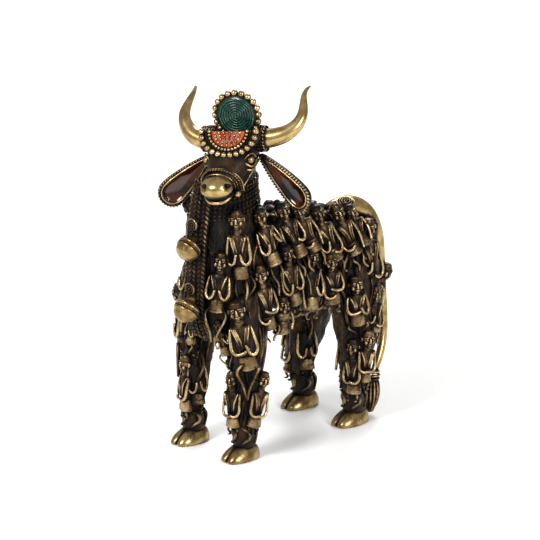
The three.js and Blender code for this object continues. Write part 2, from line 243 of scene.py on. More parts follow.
def raised_rings(name, start, turns, subdivisions=0):
    """A face drawn out ring by ring: "turns" holds the place of every ring, from the start to the end cap"""
    start.data.transform(turns[0])
    alone(start)
    bpy.ops.object.mode_set(mode="EDIT")
    for before, after in zip(turns, turns[1:]):
        bpy.ops.mesh.select_mode(type="FACE")
        bpy.ops.mesh.extrude_region_move()
        shape = bmesh.from_edit_mesh(start.data)
        ring = [vertex for vertex in shape.verts if vertex.select]
        bmesh.ops.transform(shape, matrix=after @ before.inverted(), verts=ring)
    bpy.ops.object.mode_set(mode="OBJECT")
    start.name = name
    return closed_and_smooth(start, subdivisions)


def drawn(name, stations, sides, sideways=X, subdivisions=1, axis=None, squareness=2.0):
    """A bar drawn out through stations (centre, half width, half depth), its rings square to its line
    or to an axis, and round at a squareness of 2"""
    turns = []
    for i, (centre, wide, deep) in enumerate(stations):
        ahead = Vector(stations[min(i + 1, len(stations) - 1)][0])
        behind = Vector(stations[max(i - 1, 0)][0])
        along = axis or (ahead - behind).normalized()
        right = (sideways - along * sideways.dot(along)).normalized()
        turn = Matrix((right, along.cross(right), along)).transposed().to_4x4()
        size = Matrix.Diagonal((wide * MM, deep * MM, MM, 1))
        turns.append(Matrix.Translation(Vector(centre) * MM) @ turn @ size)
    bpy.ops.object.select_all(action="DESELECT")
    bpy.ops.mesh.primitive_circle_add(vertices=sides, radius=1, fill_type="NGON")
    ring = bpy.context.object
    for corner in ring.data.vertices:
        corner.co /= (abs(corner.co.x) ** squareness + abs(corner.co.y) ** squareness) ** (1 / squareness)
    return raised_rings(name, ring, turns, subdivisions)


def closer(stations, count):
    """The same bar on more stations"""
    table = np.array([(*centre, wide, deep) for centre, wide, deep in stations])
    share = np.linspace(0, len(stations) - 1, count)
    columns = [np.interp(share, range(len(stations)), column) for column in table.T]
    return [((x, y, z), wide, deep) for x, y, z, wide, deep in zip(*columns)]


def wrinkled(wall, deep, pitch, rub):
    """Winding upright folds pressed into a wall, and rubbed a little along their ridges"""
    rubbed(wall, 0, ground)
    folds = []
    for vertex, normal in zip(wall.data.vertices, [vertex.normal.copy() for vertex in wall.data.vertices]):
        x, y, z = vertex.co / MM / pitch
        fold = 1 - FOLD_SLOPE * abs(noise.noise(Vector((x, y, z / FOLD_LENGTH))))
        vertex.co += normal * deep * MM * (fold - FOLD_SINK)
        folds.append(rub * max(0.0, fold))
    wall.data.attributes["rub"].data.foreach_set("value", folds)
    return wall


TRUNK_WALL = [((0, y, (low + top) / 2), half, (top - low) / 2) for y, low, top, half in TRUNK]
trunk = drawn("trunk", closer(TRUNK_WALL, 30), 32, axis=Y, squareness=2.7)
casting.append(wrinkled(trunk, deep=2.0, pitch=5.5, rub=0.28))
casting.append(wrinkled(drawn("neck", closer(NECK, 13), 22), deep=1.6, pitch=5.5, rub=0.2))

# The wax-thread people
# Each has a head of pressed pellets, neck rings, body and ridged skirt, with arms, legs and scarf laid on
# as rolled threads. A figure has its hips at the origin, stands along +Z and looks along -Y until it is
# placed, and a plainer copy of each form serves the hidden sides.
REACH = 40
GIRTH = 0.96
HEAD_SCALE = 1.03
ARM_THREAD = 1.34
LEG_THREAD = 1.15
SCARF_THREAD = 0.72
LOOSE_THREAD = 1.5
PLAIN_SHARE = 0.3
NOSE_TO_CHIN = [  # middle, half sizes, tilt and rub of the nostrils, the lips and the chin
    ((0, -5.2, -2.1), (1.7, 1.1, 0.8), 0, 0.95), ((0, -4.9, -3.8), (2.3, 1.1, 0.65), 0, 0.95),
    ((0, -4.7, -5.0), (1.9, 1.0, 0.65), 0, 0.95), ((0, -3.9, -6.4), (1.7, 1.2, 0.9), 0, 0.75),
]
BOTH_SIDES = [  # the same of a brow, an eye, a cheek and an ear
    ((2.4, -4.7, 2.3), (2.0, 0.9, 0.5), 0.14, 0.9), ((2.3, -4.7, 0.7), (1.5, 0.8, 0.75), 0, 0.8),
    ((3.1, -3.7, -2.2), (1.8, 1.5, 2.0), 0, 0.8), ((5.6, 0.2, -0.4), (1.0, 1.5, 2.2), 0, 0.85),
]
TURBAN = [(0, 42.0), (4.2, 42.4), (5.5, 43.4), (4.0, 44.4), (4.8, 45.4), (3.0, 46.3), (3.2, 47.1), (0, 47.8)]
CAP = [(0, 42.4), (4.4, 42.9), (5.2, 43.8), (3.7, 44.8), (4.4, 45.8), (2.7, 46.7), (0, 47.2)]
BUN = [(0, 43.0), (4.8, 43.6), (4.9, 44.6), (3.9, 46.2), (0, 47.2)]
TORSO = [((0, 0, 29), 3.8, 2.8), ((0, 0, 27.4), 7.4, 3.5), ((0, -0.2, 24), 8.0, 4.4),
         ((0, -0.2, 17), 6.6, 4.5), ((0, 0, 10), 5.3, 4.3), ((0, 0, 3), 5.2, 4.4)]


def on_show(name, mesh):
    """The object that shows a mesh or a curve"""
    form = bpy.data.objects.new(name, mesh)
    bpy.context.collection.objects.link(form)
    return form


def turned(name, profile, steps, deep=1.0):
    """A form turned about Z from a profile of (radius, height), pressed to a share of its depth"""
    outline = bpy.data.meshes.new(name)
    points = [(radius * MM, 0, high * MM) for radius, high in profile]
    outline.from_pydata(points, [(i, i + 1) for i in range(len(points) - 1)], [])
    form = alone(on_show(name, outline))
    bpy.ops.object.mode_set(mode="EDIT")
    bpy.ops.mesh.select_all(action="SELECT")
    bpy.ops.mesh.spin(steps=steps, angle=2 * pi, center=(0, 0, 0), axis=(0, 0, 1))
    bpy.ops.object.mode_set(mode="OBJECT")
    form.data.transform(Matrix.Diagonal((1, deep, 1, 1)))
    return closed_and_smooth(form)


def pellet(centre, size, around=10, rings=6, lean=0.0, roll=0.0):
    """A pressed ball of wax"""
    bpy.ops.object.select_all(action="DESELECT")
    bpy.ops.mesh.primitive_uv_sphere_add(segments=around, ring_count=rings, radius=MM)
    ball = bpy.context.object
    turn = Matrix.Rotation(lean, 4, "X") @ Matrix.Rotation(roll, 4, "Y")
    ball.data.transform(Matrix.Translation(mm(*centre)) @ turn @ Matrix.Diagonal((*size, 1)))
    bpy.ops.object.shade_smooth()
    return ball


class Threads:
    """Rolled wax threads: one curve that takes any number of them and becomes one mesh"""

    def __init__(self, name, fine=1, spans=3, tip=0.7):
        self.name, self.tip = name, tip
        self.curve = bpy.data.curves.new(name, "CURVE")
        self.curve.dimensions = "3D"
        self.curve.bevel_depth = MM
        self.curve.bevel_resolution = fine
        self.curve.resolution_u = spans
        self.curve.use_fill_caps = True

    def lay(self, points, radius, tip=None, place=None, closed=False):
        """One thread through points in millimetres, with its tips thinned unless it closes on itself"""
        tip = tip or self.tip
        spline = self.curve.splines.new("BEZIER")
        spline.bezier_points.add(len(points) - 1)
        spline.use_cyclic_u = closed
        scale = place.to_scale().x if place else 1.0
        for i, (knot, point) in enumerate(zip(spline.bezier_points, points)):
            centre = Vector(point) * MM
            knot.co = place @ centre if place else centre
            knot.handle_left_type = knot.handle_right_type = "AUTO"
            knot.radius = radius * scale * (tip if not closed and i in (0, len(points) - 1) else 1.0)

    def made(self):
        alone(on_show(self.name, self.curve))
        bpy.ops.object.convert(target="MESH")
        return closed_and_smooth(bpy.context.object)


def joined(name, forms):
    bpy.ops.object.select_all(action="DESELECT")
    for form in forms:
        form.select_set(True)
    bpy.context.view_layer.objects.active = forms[0]
    bpy.ops.object.join()
    forms[0].name = name
    return forms[0]


def face():
    """A plain folk face, each of its features a pressed pellet"""
    skull = pellet((0, -0.3, REACH + 0.6), (5.3, 5.0, 5.8), 14, 9)
    jaw = pellet((0, -1.2, REACH - 3.6), (4.2, 3.9, 3.6), 10, 7)
    nose = pellet((0, -5.3, REACH - 0.2), (1.0, 1.5, 2.6), 7, 5, lean=-0.16)
    forms = [rubbed(skull, 0.64), rubbed(jaw, 0.66), rubbed(nose, 1.0)]
    for side, features in ((1, NOSE_TO_CHIN), (-1, BOTH_SIDES), (1, BOTH_SIDES)):
        for (x, y, high), size, tilt, rub in features:
            feature = pellet((x * side, y, REACH + high), size, 7, 4, roll=tilt * side)
            forms.append(rubbed(feature, rub))
    return joined("face", forms)


def neck_rings():
    profile = [(0, 26.8)]
    for i in range(3):
        profile += [(4.0 - i * 0.2, 27.9 + i * 2.2), (3.1, 29.0 + i * 2.2)]
    return turned("neck rings", [*profile, (0, 34.6)], 12)


def skirt():
    """A short skirt, wound of fine threads that show as ridges"""
    ridges = 5
    profile = [(0, 5.8), (5.5, 5.4)]
    for i in range(ridges):
        share = (i + 0.5) / ridges
        middle = 4.6 - 10 * share
        profile += [(5.3 + 1.2 * share, middle + 1.0), (6.4 + 1.2 * share, middle)]
    return turned("skirt", [*profile, (6.6, -5.8), (0, -5.6)], 14, deep=0.84)


def bosom():
    forms = [pellet((3.0 * side, -3.9, 18.5), (2.1, 1.9, 4.6), 8, 6, lean=0.12, roll=-0.12 * side)
             for side in (-1, 1)]
    return joined("bosom", forms)


def plainer(mould):
    """The same form with fewer faces"""
    copy = alone(on_show(mould.name, mould.data.copy()))
    fewer = copy.modifiers.new("fewer", "DECIMATE")
    fewer.ratio = PLAIN_SHARE
    bpy.ops.object.modifier_apply(modifier=fewer.name)
    return copy


knot = pellet((0, 3.4, 45.6), (3.4, 2.8, 3.0), 9, 6)
moulds = {
    "face": face(),
    "turban": rubbed(turned("turban", TURBAN, 14), 0.46),
    "cap": rubbed(turned("cap", CAP, 14), 0.42),
    "bun": rubbed(joined("bun", [turned("bun", BUN, 13), knot]), 0.16),
    "rings": rubbed(neck_rings(), 0.5),
    "torso": rubbed(drawn("torso", TORSO, 12, subdivisions=0), 0.62),
    "skirt": rubbed(skirt(), 0.6),
    "bosom": rubbed(bosom(), 0.5),
}
plain_moulds = {name: plainer(mould) for name, mould in moulds.items()}
arms = Threads("arms", fine=1, spans=4, tip=0.9)
legs = Threads("legs", fine=0, spans=4, tip=0.8)
scarves = Threads("scarves", fine=0, spans=2, tip=0.9)

SHOULDER = (7.4, -0.8, 27.0)
ARM_POSES = {  # from the shoulder: upper arm, elbow, forearm and hand, with x outwards
    "folded": [SHOULDER, (9.0, -2.6, 18.0), (8.6, -4.6, 8.4), (5.6, -6.0, 6.8), (1.6, -6.3, 15.0)],
    "clasped": [SHOULDER, (8.8, -2.6, 18.5), (8.2, -4.8, 10.0), (5.0, -6.0, 8.4), (1.0, -6.2, 11.5)],
    "down": [SHOULDER, (8.8, -1.6, 19.0), (9.2, -2.8, 10.0), (8.2, -3.6, 2.0), (7.2, -4.6, -3.5)],
    "raised": [SHOULDER, (9.6, -2.6, 20.0), (10.2, -4.2, 13.0), (7.6, -5.6, 15.0), (4.4, -6.0, 22.0)],
    "crossed": [SHOULDER, (9.0, -2.6, 18.0), (8.0, -5.0, 9.5), (3.0, -6.2, 8.6), (-4.0, -6.0, 12.0)],
    "tucked": [SHOULDER, (7.6, -2.8, 18.0), (7.4, -4.8, 8.8), (4.4, -6.2, 5.8), (-1.2, -6.4, 6.6)],
    "hanging": [SHOULDER, (8.0, -2.4, 16.0), (8.2, -4.2, 4.0), (4.0, -6.2, 1.5), (-0.6, -6.4, 4.0)],
}
LEG_POSES = {  # from the hem to the foot, with x outwards and z as shares of the leg's length
    "standing": [(3.2, -0.6, 0.1), (4.6, -2.2, -0.45), (3.4, -0.8, -1), (3.8, -4.0, -1.04)],
    "swaying": [(3.2, -0.6, 0.1), (4.8, -1.6, -0.3), (2.4, -2.6, -0.62), (4.6, -1.8, -1)],
    "bent": [(4.0, -1.2, 0.15), (8.6, -2.2, -0.1), (7.4, -3.2, -0.32), (3.0, -2.6, -0.72), (1.6, -2.4, -1)],
}
HEM = -5
SCARF_PITCH = 1.15


def standing(foot, up, outward, girth, rise):
    """The matrix of a form that stands on a place, looks outwards, and is stretched upwards by its rise"""
    back = (up * outward.dot(up) - outward).normalized()
    turn = Matrix((back.cross(up), back, up)).transposed().to_4x4()
    return Matrix.Translation(foot * MM) @ turn @ Matrix.Diagonal((girth, girth, rise, 1))


def scarf_end(side, place):
    """Three threads side by side, from one shoulder down the breast to the waist"""
    for across in (-SCARF_PITCH, 0, SCARF_PITCH):
        scarves.lay([((5.6 + across) * side, -1.8, 28.2), ((4.2 + across) * side, -4.5, 23.5),
                     ((2.4 + across * 0.9) * side, -5.0, 17.0), ((1.9 + across * 0.7) * side, -4.8, 8.0)],
                    SCARF_THREAD, place=place)


def person(hips, head, outward, hat="turban", arm=("folded", "folded"), leg=("standing", 22), look=0,
           girth=GIRTH, bosom=False, scarf=True, plain=False):
    """Stands one figure on the casting; "look" turns its head, in degrees towards its left"""
    hips, head, outward = Vector(hips), Vector(head), Vector(outward)
    up = (head - hips).normalized()
    body = standing(hips, up, outward, girth, (head - hips).length / REACH)
    waist = standing(hips, up, outward, girth, girth)
    looking = Matrix.Rotation(radians(look), 4, "Z") @ Matrix.Translation(mm(0, 0, -REACH))
    top = standing(head, up, outward, girth * HEAD_SCALE, girth * HEAD_SCALE) @ looking
    places = {"face": top, "skirt": waist, "rings": body, "torso": body, hat: top}
    if bosom:
        places["bosom"] = body
    for name, place in places.items():
        copy = (plain_moulds if plain else moulds)[name].data.copy()
        copy.transform(place)
        casting.append(on_show(name, copy))
    for side, pose in zip((1, -1), arm):
        arms.lay([(x * side, y, z) for x, y, z in ARM_POSES[pose]], ARM_THREAD, place=body)
    pose, long = leg
    for side in (-1, 1):
        if long:
            line = [(x * side, y, z * long + HEM) for x, y, z in LEG_POSES[pose]]
            legs.lay(line, LEG_THREAD, place=waist)
        if scarf and not plain:
            scarf_end(side, body)


# The people of the flanks
# They stand in two rows along each side, crowded and leaning, with their heads to the spine. The
# left side is laid as the photograph shows it, and the hidden right side repeats it more plainly.
ALONG, SPINE, HALF = 0, 2, 3
STANDOFF = 2.6
DRAWN_IN = 7
SPINE_HEADS = 170
FAR_SIDE_LOWER = 9
LOOK_AHEAD = 0.25
FLANK = [  # head (along, high), hips, and the pose
    ((-35.6, 194), (-29.2, 159.5), dict(hat="bun", arm=("raised", "folded"), leg=("swaying", 26), look=-35)),
    ((-13, 193.6), (-2, 160.4), dict(hat="bun", arm=("clasped", "down"), bosom=True, leg=("swaying", 18))),
    ((2.6, 189), (13, 161), dict(hat="cap", arm=("down", "hanging"), leg=("standing", 16))),
    ((24.8, 182.5), (36.5, 147.8), dict(hat="bun", arm=("hanging", "folded"), leg=("standing", 12))),
    ((47, 178), (58.3, 148), dict(hat="turban", arm=("down", "hanging"), leg=("swaying", 16))),
    ((62, 174), (68, 152), dict(hat="bun", arm=("down", "down"), leg=("standing", 10))),
    ((77, 160), (84, 116), dict(hat="cap", arm=("hanging", "folded"), leg=("swaying", 22), look=-20)),
    ((-41, 149), (-34, 108), dict(hat="turban", arm=("crossed", "hanging"), leg=("bent", 12), look=-30)),
    ((-15, 160.7), (-7, 122), dict(hat="bun", arm=("clasped", "folded"), bosom=True, leg=("swaying", 8))),
    ((12.2, 151.6), (11.7, 114), dict(hat="turban", arm=("folded", "down"), bosom=True, leg=("standing", 8))),
    ((32.3, 143), (35.4, 113), dict(hat="cap", arm=("crossed", "hanging"), leg=("standing", 8))),
    ((-19, 119), (-20, 101), dict(hat="cap", arm=("down", "down"), leg=("standing", 0), scarf=False)),
]


def on_trunk(along, size):
    """One of the trunk's sizes at a place along it"""
    return float(np.interp(along, [row[ALONG] for row in TRUNK], [row[size] for row in TRUNK]))


def flank_place(along, high, side, drawn_in=0):
    return ((on_trunk(along, HALF) + STANDOFF - drawn_in) * side, along, high)


for side in (1, -1):
    for head, hips, pose in FLANK:
        spine = head[1] > SPINE_HEADS
        lower = FAR_SIDE_LOWER if spine and side < 0 else 0
        person(flank_place(hips[0], hips[1] - lower, side),
               flank_place(head[0], head[1] - lower, side, DRAWN_IN if spine else 0),
               (side, -LOOK_AHEAD, 0), plain=side < 0, **pose)

# The people of the chest and rump
# Two stand round each front corner of the chest, and two more on the rump beside the tail.
CHEST = [  # hips and head on the left side, the way it faces in degrees from the front, and the pose
    ((27, -58, 154), (26, -61, 197), 38, dict(hat="turban", leg=("swaying", 36))),
    ((17.5, -74, 128), (18, -70, 163), 34, dict(hat="cap", leg=("bent", 26))),
]
RUMP = [
    ((14, 97, 122), (14, 97, 152), 160, dict(hat="bun", leg=("standing", 10), plain=True)),
    ((8, 104, 80), (18, 109, 113), 150, dict(hat="cap", leg=("swaying", 20), plain=True)),
]


def facing(turn, side):
    return Vector((sin(radians(turn)) * side, -cos(radians(turn)), 0))


def beside(side, people):
    """Stands people on one side of the bull: as listed on its left, and mirrored and plainer on its right"""
    for hips, head, turn, pose in people:
        person((hips[0] * side, *hips[1:]), (head[0] * side, *head[1:]), facing(turn, side),
               **{"plain": side < 0, **pose})


for side in (1, -1):
    beside(side, CHEST + RUMP)

# The hair knots and loose threads
# Knots of dark wax close the rows of heads along the spine. Loose threads run down between the
# figures and hang in loops under the belly, fewer of them on the hidden side.
KNOT = (6.2, 4.6, 4.4)
KNOT_PITCH = 8
BELLY_LOOP = [(27, -7, 112), (28, -4, 104), (22, 0, 101), (27, 5, 104), (27, 8, 112)]
STEPS = 6


def wound(count, radius, path):
    """Lays loose threads that wind through the places which path(thread, step) gives"""
    for i in range(count):
        legs.lay([path(i, step) for step in range(STEPS)], radius)


for i in range(13):
    along = -24 + i * KNOT_PITCH
    rows = ((4 * sin(2.3 * i), 1), (13 + 3 * sin(1.7 * i), 0.85),
            (-14 + 3 * sin(1.3 * i), 0.85))
    for across, size in rows:
        place = (across, along + across * 0.2, on_trunk(along, SPINE) + 0.5 - abs(across) * 0.12)
        knot = pellet(place, [half * size for half in KNOT], 9, 6, lean=0.3 * sin(i))
        cast(knot, 0.4)
for side, count, first, pitch in ((1, 9, -50, 17), (-1, 4, -40, 34)):
    def from_spine(i, step):
        along = -54 + i * 8 + 3.4 * sin(1.7 * step + 2.3 * i) + step * 1.5
        high = on_trunk(along, SPINE) - 14 - 11 * step
        return flank_place(along, high, side, 1.6 - 1.2 * sin(step + i))

    def lower_down(i, step):
        along = first + i * pitch + 4.6 * sin(1.5 * step + 1.3 * i) - step * 0.8
        return flank_place(along, 150 - 8.5 * step, side, 1.0 - 1.4 * sin(step + 2 * i))

    wound(17, 1.25, from_spine)
    wound(count, LOOSE_THREAD, lower_down)
    for i in range(7):
        legs.lay([(x * side, -34 + i * 12 + y, z) for x, y, z in BELLY_LOOP], LOOSE_THREAD)

# The legs
# Each leg is one tall figure over two small ones that stand side by side on the fetlock, in front of
# a dark wall, with more behind. Loose threads wind about it, over polished cloven hooves.
HOOF_X = 28.5
HOOF_Y = 60
LEG_TURN = 46
FORE, HIND = -1, 1
LEG_WALLS = {  # share of the hoof's x, place behind the hoof, height, half width, half depth
    FORE: [(0.84, 13, 134, 10, 19), (0.9, 12, 104, 9, 18), (0.95, 10, 80, 9, 15.5),
           (1, 8, 60, 8.6, 12.5), (1, 5.5, 40, 8.4, 10.5), (1, 3, 24, 8, 8)],
    HIND: [(0.8, 8, 134, 10, 28), (0.86, 10, 104, 10, 27), (0.92, 10, 80, 9.5, 25),
           (0.96, 9, 66, 9, 21), (1, 4, 46, 8, 14), (1, 3, 24, 8, 9)],
}
LEG_PEOPLE = {  # hips, head, the way it faces and the pose; the tall one of each foreleg comes first
    FORE: [
        ((35.6, -58.5, 82), (31.4, -66.7, 125), LEG_TURN,
         dict(hat="cap", arm=("folded", "crossed"), leg=("standing", 0), girth=1.06, plain=False)),
        ((19.3, -67, 89), (14.5, -70, 109), 20,
         dict(hat="cap", arm=("raised", "folded"), leg=("bent", 16), girth=0.64)),
        ((22, -59, 38), (21, -61, 78), -70, dict(hat="bun", leg=("standing", 8), girth=0.86, plain=True)),
    ],
    HIND: [
        ((37, 59, 90), (37, 57, 119), 70, dict(hat="cap", arm=("folded", "crossed"), leg=("bent", 8))),
        ((33, 82, 77), (33, 83, 104), 70,
         dict(hat="turban", arm=("hanging", "folded"), leg=("swaying", 16), girth=0.78)),
        ((22, 61, 38), (21, 59, 78), -70, dict(hat="bun", leg=("standing", 8), girth=0.86, plain=True)),
        ((HOOF_X, 69, 52), (HOOF_X, 70, 92), 160,
         dict(hat="cap", arm=("clasped", "clasped"), leg=("standing", 16), plain=True)),
    ],
}
PAIRS = {  # place ahead of the leg, the middle and spread of the hips and of the heads, the outer one's lift
    FORE: (2.5, 3, 8, 6, 12, 0),
    HIND: (7.5, 6.8, 4, 8.4, 5.6, 10),
}
SHINS = [[(2, 81), (-2, 75), (2.2, 65), (5.7, 52)], [(15, 79), (11, 69), (7.2, 60), (6, 52)]]
BACK_STRAND = [((33, -36, 108), 1), ((36, -40, 92), 0.6), ((34, -41, 76), 1), ((33, -44, 62), 0.5)]
FETLOCK = [(4.5, 7, 9.0, 9.6), (4.5, 15, 9.0, 9.6), (3, 24, 8.6, 9.2), (2, 31, 8, 9)]
TOE = [  # out from the cleft, place behind the hoof's middle, height, half width, half length
    (3.6, 0.2, 0, 7.0, 16.2), (3.6, 0.2, 0.8, 7.8, 17.0), (3.5, 0.6, 3.4, 7.8, 16.4),
    (3.2, 1.8, 6.4, 7.2, 14.8), (2.7, 3.6, 9.2, 6.4, 12.0), (2.0, 4.8, 11.8, 5.0, 9),
]
CLEFT = [(-14.9, 1), (-13.9, 3.4), (-11.3, 6.6), (-7.2, 9.4), (-3.4, 11.8)]


def at_leg(side, end, ahead, across, high):
    """A place measured ahead of a leg's middle, across its front and up from the ground"""
    outward = facing(LEG_TURN, side)
    return Vector((HOOF_X * side, HOOF_Y * end, high)) + outward * ahead + Z.cross(outward) * side * across


def fetlock_pair(side, end):
    """Two small figures side by side on the fetlock, turned a little away from each other"""
    ahead, hips_middle, hips_spread, head_middle, head_spread, lift = PAIRS[end]
    for place in (-1, 1):
        raised = lift if place > 0 else 0
        person(at_leg(side, end, ahead, hips_middle + hips_spread * place, 33 + raised),
               at_leg(side, end, ahead, head_middle + head_spread * place, 67 + raised * 0.6),
               facing(LEG_TURN + 27 * place, side), hat="turban" if place == end else "cap",
               arm=("tucked", "tucked"), leg=("standing", 7), girth=0.88, plain=side < 0 and end == HIND)


def leg_threads(side, end):
    """Threads that wind up the leg, and short bent ones round the fetlock"""
    x, y = HOOF_X * side, HOOF_Y * end
    rise = 100 if end == HIND else 92

    def up_the_leg(i, step):
        share = step / (STEPS - 1)
        angle = 2.4 * i + 0.5 * sin(1.9 * step + 2.1 * i)
        reach = 9.4 + 1.4 * sin(1.3 * step + i)
        return (x * (1 - 0.16 * share) + reach * cos(angle),
                y + 3 - end * 2 * share + reach * sin(angle), 30 + rise * share)

    wound(7, 1.2, up_the_leg)
    for i in range(5):
        start, bend = radians(72 * i + 20), radians(72 * i + 60)
        turns = ((start, 8.8, 9.4, 28), (bend, 9.4, 10, 21), (start, 9.0, 9.6, 14))
        legs.lay([(x + wide * cos(angle), y + 4 + deep * sin(angle), high)
                  for angle, wide, deep, high in turns], 1.8)


def foreleg_strands(side):
    """The tall figure's shins, which meet between the heads of the pair, and three strands behind it"""
    for shin in SHINS:
        legs.lay([at_leg(side, FORE, 9.1, across, high) for across, high in shin], LOOSE_THREAD, tip=0.9)
    for spread in (0, 4, 8):
        legs.lay([(x * side, y - spread * share, z) for (x, y, z), share in BACK_STRAND], 1.7)


def on_left_thigh(i, step):
    along = 44 + 8.4 * i + (4 - i) * 0.9 * step + 2.4 * sin(1.8 * step + 1.7 * i)
    return (HOOF_X * (0.8 + 0.028 * step) + 10.4 - 0.3 * step, along, 118 - 11 * step)


def limb(side, end):
    x, y = HOOF_X * side, HOOF_Y * end
    wall = [((x * share, y + behind, high), wide, deep) for share, behind, high, wide, deep in LEG_WALLS[end]]
    casting.append(wrinkled(drawn("leg wall", closer(wall, 16), 16), deep=1.6, pitch=5, rub=0.34))
    beside(side, LEG_PEOPLE[end])
    fetlock_pair(side, end)
    leg_threads(side, end)
    if end == FORE:
        foreleg_strands(side)
    elif side > 0:
        wound(6, LOOSE_THREAD, on_left_thigh)


def hoof(side, end):
    """Two toes side by side, higher at the heel, under a dark cuff"""
    x, y = HOOF_X * side, HOOF_Y * end
    cuff = [((x, y + behind, high), wide, deep) for behind, high, wide, deep in FETLOCK]
    cast(drawn("fetlock", cuff, 16), 0.3)
    for toe in (-1, 1):
        rings = [((x + toe * out, y + behind, high), wide, deep) for out, behind, high, wide, deep in TOE]
        cast(drawn("toe", rings, 14, axis=Z), 0.84, worn)
    # A dark, unrubbed thread down the front of the cleft paints the shade of the gap between the toes
    cleft_shade.lay([(x, y + behind, high) for behind, high in CLEFT], 0.8)


cleft_shade = Threads("cleft_shade", fine=0, spans=2)
for side in (1, -1):
    for end in (FORE, HIND):
        limb(side, end)
        hoof(side, end)
# The cleft thread is cast unrubbed, so it stays black as painted shade
cast(cleft_shade.made(), 0)

# The plaited harness
# Rows of pressed pellets lie in pairs like a plait: bands under the jaw and a broad strap down the
# chest, with two bells hanging from it and a small coil above each.
BANDS = 4
BAND_LIFT = 0.8
BAND_TILT = 3
GRAIN_LEAN = 38
STRAP = [(-73, 223), (-76.5, 211), (-79, 196), (-82, 178), (-83, 160), (-84, 140), (-84.5, 126),
         (-82, 112), (-77, 100)]
BELL_RADIUS = 10.3
BELL = [  # radius and height of the profile, from under the dome up to the shank
    (0, -8.0), (3, -7.7), (6.2, -6.2), (8.4, -3.8), (9.2, -1.4), (9.9, -0.8), (BELL_RADIUS, 0), (9.9, 0.8),
    (9.3, 1.2), (9.3, 3.0), (9.9, 3.4), (10.2, 4.1), (9.8, 4.8), (8, 6.0), (5.4, 7.4), (4.4, 10),
    (4.2, 15), (0, 15),
]
BELLS = [((0, -89, 172), 10.3, 54), ((0, -91, 122), 10.8, 41)]
grain_mould = pellet((0, 0, 0), (1, 1, 1), 6, 3)
bead_mould = pellet((0, 0, 0), (1, 1, 1), 11, 7)


def route(points, count, closed=False):
    """Evenly spaced places on a smooth line through points"""
    knots = [Vector(point) for point in points]
    if closed:
        knots = [knots[-1], *knots, knots[0], knots[1]]
    else:
        knots = [knots[0] * 2 - knots[1], *knots, knots[-1] * 2 - knots[-2]]
    dense = []
    for before, start, end, after in zip(knots, knots[1:], knots[2:], knots[3:]):
        first, second = start + (end - before) / 6, end - (after - start) / 6
        dense += interpolate_bezier(start, first, second, end, 12)[:-1]
    dense = np.array([*dense, knots[-2]])
    run = np.concatenate([[0], np.cumsum(np.linalg.norm(np.diff(dense, axis=0), axis=1))])
    share = np.linspace(0, run[-1], count, endpoint=not closed)
    columns = [np.interp(share, run, column) for column in dense.T]
    return [Vector(point) for point in zip(*columns)]


def row(points, count, outward, size, slant=0, lanes=(0,), closed=False):
    """Places in a row: the lanes say how far across each is, and the slant leans a lane towards its side"""
    line = route(points, count, closed)
    places = []
    for i, point in enumerate(line):
        ahead = line[(i + 1) % count if closed else min(i + 1, count - 1)]
        behind = line[i - 1 if closed else max(i - 1, 0)]
        along = (ahead - behind).normalized()
        up = outward(point) if callable(outward) else Vector(outward)
        up = (up - along * up.dot(along)).normalized()
        across = up.cross(along)
        for lane in lanes:
            lean = radians(slant) * (1 if lane >= 0 else -1)
            long = along * cos(lean) + across * sin(lean)
            turn = Matrix((long * size[0], up.cross(long) * size[1], up * size[2])).transposed().to_4x4()
            places.append(Matrix.Translation((point + across * lane) * MM) @ turn)
    return places


def strewn(name, places, rub, mould=grain_mould):
    """One mesh of copies of a grain or a bead at many places"""
    shape = bmesh.new()
    for place in places:
        copy = mould.data.copy()
        copy.transform(place)
        shape.from_mesh(copy)
        bpy.data.meshes.remove(copy)
    mesh = bpy.data.meshes.new(name)
    shape.to_mesh(mesh)
    shape.free()
    return rubbed(on_show(name, mesh), rub)


def circle(radius, high, count, deep=None):
    """Points round a level circle, or round an oval where its depth is given"""
    angles = [2 * pi * i / count for i in range(count)]
    return [(radius * cos(angle), (deep or radius) * sin(angle), high) for angle in angles]


def spiral(count, start, growth, turn, high=0, drop=0):
    """Points that wind outwards, and down by their drop"""
    points = []
    for i in range(count):
        radius = start + i * growth
        points.append((radius * cos(i * turn), radius * sin(i * turn), high - i * drop))
    return points


def on_neck(high):
    """The place of the neck's middle, and its half width and half depth, at a height"""
    table = np.array([(*centre, wide, deep) for centre, wide, deep in NECK]).T
    return [float(np.interp(high, table[2], column)) for column in table[[0, 1, 3, 4]]]


plait_places = []
for i in range(BANDS):
    high = 199 + i * 6.5
    x, y, wide, deep = on_neck(high)
    wide, deep = wide + BAND_LIFT, deep + BAND_LIFT
    band = [(x + across, y + along, high + BAND_TILT * along / deep)
            for across, along, _ in circle(wide, high, 12, deep)]
    plait_places += row(band, 40, lambda p: Vector((p.x - x, p.y - y, 0)), (2.1, 1.0, 1.3), GRAIN_LEAN,
                        (-1.4, 1.4), closed=True)
for lane in (-7.2, 0, 7.2):
    line = [(lane, y + abs(lane) * 0.25, z) for y, z in STRAP]
    plait_places += row(line, 35, (lane * 0.04, -1, 0.1), (3.0, 1.35, 1.7), GRAIN_LEAN, (-1.8, 1.8))
casting.append(strewn("plaits", plait_places, 0.52))
cast(drawn("strap", [((0, y + 4.2, z), 10, 4.2) for y, z in STRAP], 12), 0.1)

